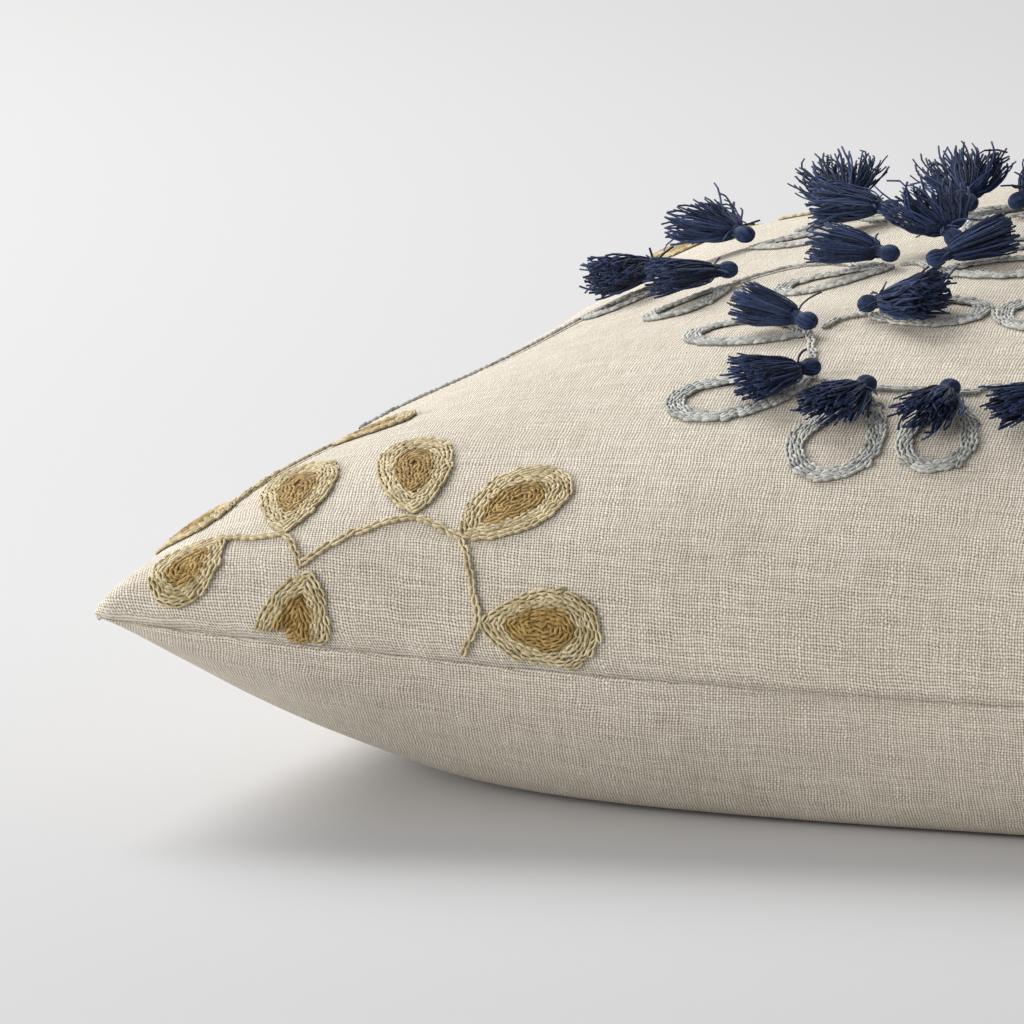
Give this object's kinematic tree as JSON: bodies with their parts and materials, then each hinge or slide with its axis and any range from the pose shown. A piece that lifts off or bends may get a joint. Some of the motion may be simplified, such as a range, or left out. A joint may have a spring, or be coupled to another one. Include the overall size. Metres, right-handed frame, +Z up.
{
  "type": "throw pillow",
  "caption": "Square knife-edge throw pillow in oatmeal cloth with embroidered leafy vines and small navy tassels sewn at the leaf feet.",
  "frame": {"origin": "on the floor under the middle of the pillow, which lies embroidered face up", "axes": "+Z up out of the embroidered face; +X along the near seam to the right; +Y from the near seam to the far seam, where the zip is"},
  "size_m": [0.46, 0.46, 0.1322],
  "materials": {
    "cover_cloth": "matte",
    "insert_cloth": "matte",
    "fibre_fill": "matte",
    "sewing_thread": "matte",
    "gold_thread": "matte",
    "mustard_thread": "matte",
    "grey_thread": "matte",
    "navy_yarn": "matte",
    "zip_tape": "matte",
    "zip_coil": "matte",
    "zip_metal": "satin"
  },
  "bodies": {
    "pillow": {"cover_front": "cover_cloth", "cover_back": "cover_cloth", "insert_top": "insert_cloth", "insert_bottom": "insert_cloth", "fibre_fill": "fibre_fill", "seam_thread": "sewing_thread", "gold_stems": "gold_thread", "gold_leaf_rings": "gold_thread", "mustard_centres": "mustard_thread", "grey_stems": "grey_thread", "grey_leaf_rings": "grey_thread", "zip_tape_upper": "zip_tape", "zip_tape_lower": "zip_tape", "zip_coil_upper": "zip_coil", "zip_coil_lower": "zip_coil", "zip_top_stop": "zip_metal", "zip_bottom_stop": "zip_metal"},
    "tassel_01": {"tassel_01": "navy_yarn"},
    "tassel_02": {"tassel_02": "navy_yarn"},
    "tassel_03": {"tassel_03": "navy_yarn"},
    "tassel_04": {"tassel_04": "navy_yarn"},
    "tassel_05": {"tassel_05": "navy_yarn"},
    "tassel_06": {"tassel_06": "navy_yarn"},
    "tassel_07": {"tassel_07": "navy_yarn"},
    "tassel_08": {"tassel_08": "navy_yarn"},
    "tassel_09": {"tassel_09": "navy_yarn"},
    "tassel_10": {"tassel_10": "navy_yarn"},
    "tassel_11": {"tassel_11": "navy_yarn"},
    "tassel_12": {"tassel_12": "navy_yarn"},
    "tassel_13": {"tassel_13": "navy_yarn"},
    "tassel_14": {"tassel_14": "navy_yarn"},
    "tassel_15": {"tassel_15": "navy_yarn"},
    "tassel_16": {"tassel_16": "navy_yarn"},
    "tassel_17": {"tassel_17": "navy_yarn"},
    "tassel_18": {"tassel_18": "navy_yarn"},
    "tassel_19": {"tassel_19": "navy_yarn"},
    "tassel_20": {"tassel_20": "navy_yarn"},
    "tassel_21": {"tassel_21": "navy_yarn"},
    "tassel_22": {"tassel_22": "navy_yarn"},
    "tassel_23": {"tassel_23": "navy_yarn"},
    "tassel_24": {"tassel_24": "navy_yarn"},
    "tassel_25": {"tassel_25": "navy_yarn"},
    "tassel_26": {"tassel_26": "navy_yarn"},
    "tassel_27": {"tassel_27": "navy_yarn"},
    "tassel_28": {"tassel_28": "navy_yarn"},
    "tassel_29": {"tassel_29": "navy_yarn"},
    "tassel_30": {"tassel_30": "navy_yarn"},
    "tassel_31": {"tassel_31": "navy_yarn"},
    "tassel_32": {"tassel_32": "navy_yarn"},
    "tassel_33": {"tassel_33": "navy_yarn"},
    "tassel_34": {"tassel_34": "navy_yarn"},
    "tassel_35": {"tassel_35": "navy_yarn"},
    "tassel_36": {"tassel_36": "navy_yarn"},
    "tassel_37": {"tassel_37": "navy_yarn"},
    "tassel_38": {"tassel_38": "navy_yarn"},
    "zip_slider": {"zip_slider": "zip_metal"},
    "zip_pull": {"zip_pull": "zip_metal"}
  },
  "joints": [
    {"name": "tassel_01_lift", "type": "hinge", "parent": "pillow", "child": "tassel_01", "pos_m": [-0.14996, -0.02752, 0.10013], "axis": [-0.6248, 0.7552, -0.1985], "range_deg": [0, 70]},
    {"name": "tassel_02_lift", "type": "hinge", "parent": "pillow", "child": "tassel_02", "pos_m": [-0.12533, -0.06237, 0.10576], "axis": [-0.526, 0.8477, -0.0681], "range_deg": [0, 70]},
    {"name": "tassel_03_lift", "type": "hinge", "parent": "pillow", "child": "tassel_03", "pos_m": [-0.13725, -0.00211, 0.10443], "axis": [0.4783, 0.8666, 0.1422], "range_deg": [0, 60]},
    {"name": "tassel_04_lift", "type": "hinge", "parent": "pillow", "child": "tassel_04", "pos_m": [-0.09974, -0.0062, 0.1133], "axis": [0.1667, 0.9852, 0.0389], "range_deg": [0, 70]},
    {"name": "tassel_05_lift", "type": "hinge", "parent": "pillow", "child": "tassel_05", "pos_m": [-0.11698, 0.01874, 0.10953], "axis": [0.9205, 0.3332, 0.2041], "range_deg": [0, 55]},
    {"name": "tassel_06_lift", "type": "hinge", "parent": "pillow", "child": "tassel_06", "pos_m": [-0.084, -0.06938, 0.1126], "axis": [0.2198, 0.9673, 0.1264], "range_deg": [0, 70]},
    {"name": "tassel_07_lift", "type": "hinge", "parent": "pillow", "child": "tassel_07", "pos_m": [-0.09064, -0.12068, 0.10441], "axis": [0.3605, 0.9079, 0.2137], "range_deg": [0, 70]},
    {"name": "tassel_08_lift", "type": "hinge", "parent": "pillow", "child": "tassel_08", "pos_m": [-0.08274, -0.14812, 0.09857], "axis": [-0.6924, 0.704, 0.158], "range_deg": [0, 70]},
    {"name": "tassel_09_lift", "type": "hinge", "parent": "pillow", "child": "tassel_09", "pos_m": [-0.06759, -0.1563, 0.09679], "axis": [-0.9571, 0.284, 0.0578], "range_deg": [0, 70]},
    {"name": "tassel_10_lift", "type": "hinge", "parent": "pillow", "child": "tassel_10", "pos_m": [-0.04772, -0.15736, 0.09708], "axis": [-0.9908, 0.1335, 0.0226], "range_deg": [0, 70]},
    {"name": "tassel_11_lift", "type": "hinge", "parent": "pillow", "child": "tassel_11", "pos_m": [-0.02126, -0.15682, 0.09778], "axis": [-0.7777, 0.5915, 0.2128], "range_deg": [0, 70]},
    {"name": "tassel_12_lift", "type": "hinge", "parent": "pillow", "child": "tassel_12", "pos_m": [-0.0792, -0.11067, 0.10744], "axis": [-0.1194, -0.9748, -0.1884], "range_deg": [0, 70]},
    {"name": "tassel_13_lift", "type": "hinge", "parent": "pillow", "child": "tassel_13", "pos_m": [-0.07123, -0.0771, 0.11329], "axis": [0.4528, -0.8897, -0.0585], "range_deg": [0, 70]},
    {"name": "tassel_14_lift", "type": "hinge", "parent": "pillow", "child": "tassel_14", "pos_m": [-0.07089, -0.05906, 0.11522], "axis": [0.7427, 0.654, 0.1439], "range_deg": [0, 55]},
    {"name": "tassel_15_lift", "type": "hinge", "parent": "pillow", "child": "tassel_15", "pos_m": [-0.07833, -0.01538, 0.11666], "axis": [0.9544, 0.2638, 0.1397], "range_deg": [0, 55]},
    {"name": "tassel_16_lift", "type": "hinge", "parent": "pillow", "child": "tassel_16", "pos_m": [-0.06548, -0.01839, 0.11822], "axis": [0.7664, -0.6385, 0.0703], "range_deg": [0, 55]},
    {"name": "tassel_17_lift", "type": "hinge", "parent": "pillow", "child": "tassel_17", "pos_m": [-0.01453, -0.10936, 0.11128], "axis": [-0.0103, 0.9787, 0.2052], "range_deg": [0, 70]},
    {"name": "tassel_18_lift", "type": "hinge", "parent": "pillow", "child": "tassel_18", "pos_m": [0.02337, -0.15599, 0.09806], "axis": [-0.9941, 0.0963, 0.0489], "range_deg": [0, 70]},
    {"name": "tassel_19_lift", "type": "hinge", "parent": "pillow", "child": "tassel_19", "pos_m": [0.06111, -0.14992, 0.09915], "axis": [-0.9552, -0.2912, -0.0524], "range_deg": [0, 70]},
    {"name": "tassel_20_lift", "type": "hinge", "parent": "pillow", "child": "tassel_20", "pos_m": [0.14996, 0.02752, 0.10013], "axis": [0.6248, -0.7552, -0.1985], "range_deg": [0, 70]},
    {"name": "tassel_21_lift", "type": "hinge", "parent": "pillow", "child": "tassel_21", "pos_m": [0.12533, 0.06237, 0.10576], "axis": [0.526, -0.8477, -0.0681], "range_deg": [0, 70]},
    {"name": "tassel_22_lift", "type": "hinge", "parent": "pillow", "child": "tassel_22", "pos_m": [0.13725, 0.00211, 0.10443], "axis": [-0.4783, -0.8666, 0.1422], "range_deg": [0, 60]},
    {"name": "tassel_23_lift", "type": "hinge", "parent": "pillow", "child": "tassel_23", "pos_m": [0.09974, 0.0062, 0.1133], "axis": [-0.1667, -0.9852, 0.0389], "range_deg": [0, 70]},
    {"name": "tassel_24_lift", "type": "hinge", "parent": "pillow", "child": "tassel_24", "pos_m": [0.11698, -0.01874, 0.10953], "axis": [-0.9205, -0.3332, 0.2041], "range_deg": [0, 55]},
    {"name": "tassel_25_lift", "type": "hinge", "parent": "pillow", "child": "tassel_25", "pos_m": [0.084, 0.06938, 0.1126], "axis": [-0.2198, -0.9673, 0.1264], "range_deg": [0, 70]},
    {"name": "tassel_26_lift", "type": "hinge", "parent": "pillow", "child": "tassel_26", "pos_m": [0.09064, 0.12068, 0.10441], "axis": [-0.3605, -0.9079, 0.2137], "range_deg": [0, 70]},
    {"name": "tassel_27_lift", "type": "hinge", "parent": "pillow", "child": "tassel_27", "pos_m": [0.08274, 0.14812, 0.09857], "axis": [0.6924, -0.704, 0.158], "range_deg": [0, 70]},
    {"name": "tassel_28_lift", "type": "hinge", "parent": "pillow", "child": "tassel_28", "pos_m": [0.06759, 0.1563, 0.09679], "axis": [0.9571, -0.284, 0.0578], "range_deg": [0, 70]},
    {"name": "tassel_29_lift", "type": "hinge", "parent": "pillow", "child": "tassel_29", "pos_m": [0.04772, 0.15736, 0.09708], "axis": [0.9908, -0.1335, 0.0226], "range_deg": [0, 70]},
    {"name": "tassel_30_lift", "type": "hinge", "parent": "pillow", "child": "tassel_30", "pos_m": [0.02126, 0.15682, 0.09778], "axis": [0.7777, -0.5915, 0.2128], "range_deg": [0, 70]},
    {"name": "tassel_31_lift", "type": "hinge", "parent": "pillow", "child": "tassel_31", "pos_m": [0.0792, 0.11067, 0.10744], "axis": [0.1194, 0.9748, -0.1884], "range_deg": [0, 70]},
    {"name": "tassel_32_lift", "type": "hinge", "parent": "pillow", "child": "tassel_32", "pos_m": [0.07123, 0.0771, 0.11329], "axis": [-0.4528, 0.8897, -0.0585], "range_deg": [0, 70]},
    {"name": "tassel_33_lift", "type": "hinge", "parent": "pillow", "child": "tassel_33", "pos_m": [0.07089, 0.05906, 0.11522], "axis": [-0.7427, -0.654, 0.1439], "range_deg": [0, 55]},
    {"name": "tassel_34_lift", "type": "hinge", "parent": "pillow", "child": "tassel_34", "pos_m": [0.07833, 0.01538, 0.11666], "axis": [-0.9544, -0.2638, 0.1397], "range_deg": [0, 55]},
    {"name": "tassel_35_lift", "type": "hinge", "parent": "pillow", "child": "tassel_35", "pos_m": [0.06548, 0.01839, 0.11822], "axis": [-0.7664, 0.6385, 0.0703], "range_deg": [0, 55]},
    {"name": "tassel_36_lift", "type": "hinge", "parent": "pillow", "child": "tassel_36", "pos_m": [0.01453, 0.10936, 0.11128], "axis": [0.0103, -0.9787, 0.2052], "range_deg": [0, 70]},
    {"name": "tassel_37_lift", "type": "hinge", "parent": "pillow", "child": "tassel_37", "pos_m": [-0.02337, 0.15599, 0.09806], "axis": [0.9941, -0.0963, 0.0489], "range_deg": [0, 70]},
    {"name": "tassel_38_lift", "type": "hinge", "parent": "pillow", "child": "tassel_38", "pos_m": [-0.06111, 0.14992, 0.09915], "axis": [0.9552, 0.2912, -0.0524], "range_deg": [0, 70]},
    {"name": "zip_run", "type": "hinge", "parent": "pillow", "child": "zip_slider", "pos_m": [0, 1.16568, 0.58893], "axis": [0, -0.5015, 0.8651], "range_deg": [-14.1, 0]},
    {"name": "zip_pull_swing", "type": "hinge", "parent": "zip_slider", "child": "zip_pull", "pos_m": [0.13776, 0.21894, 0.03883], "axis": [0.0618, 0.0067, -0.9981], "range_deg": [0, 165]}
  ]
}
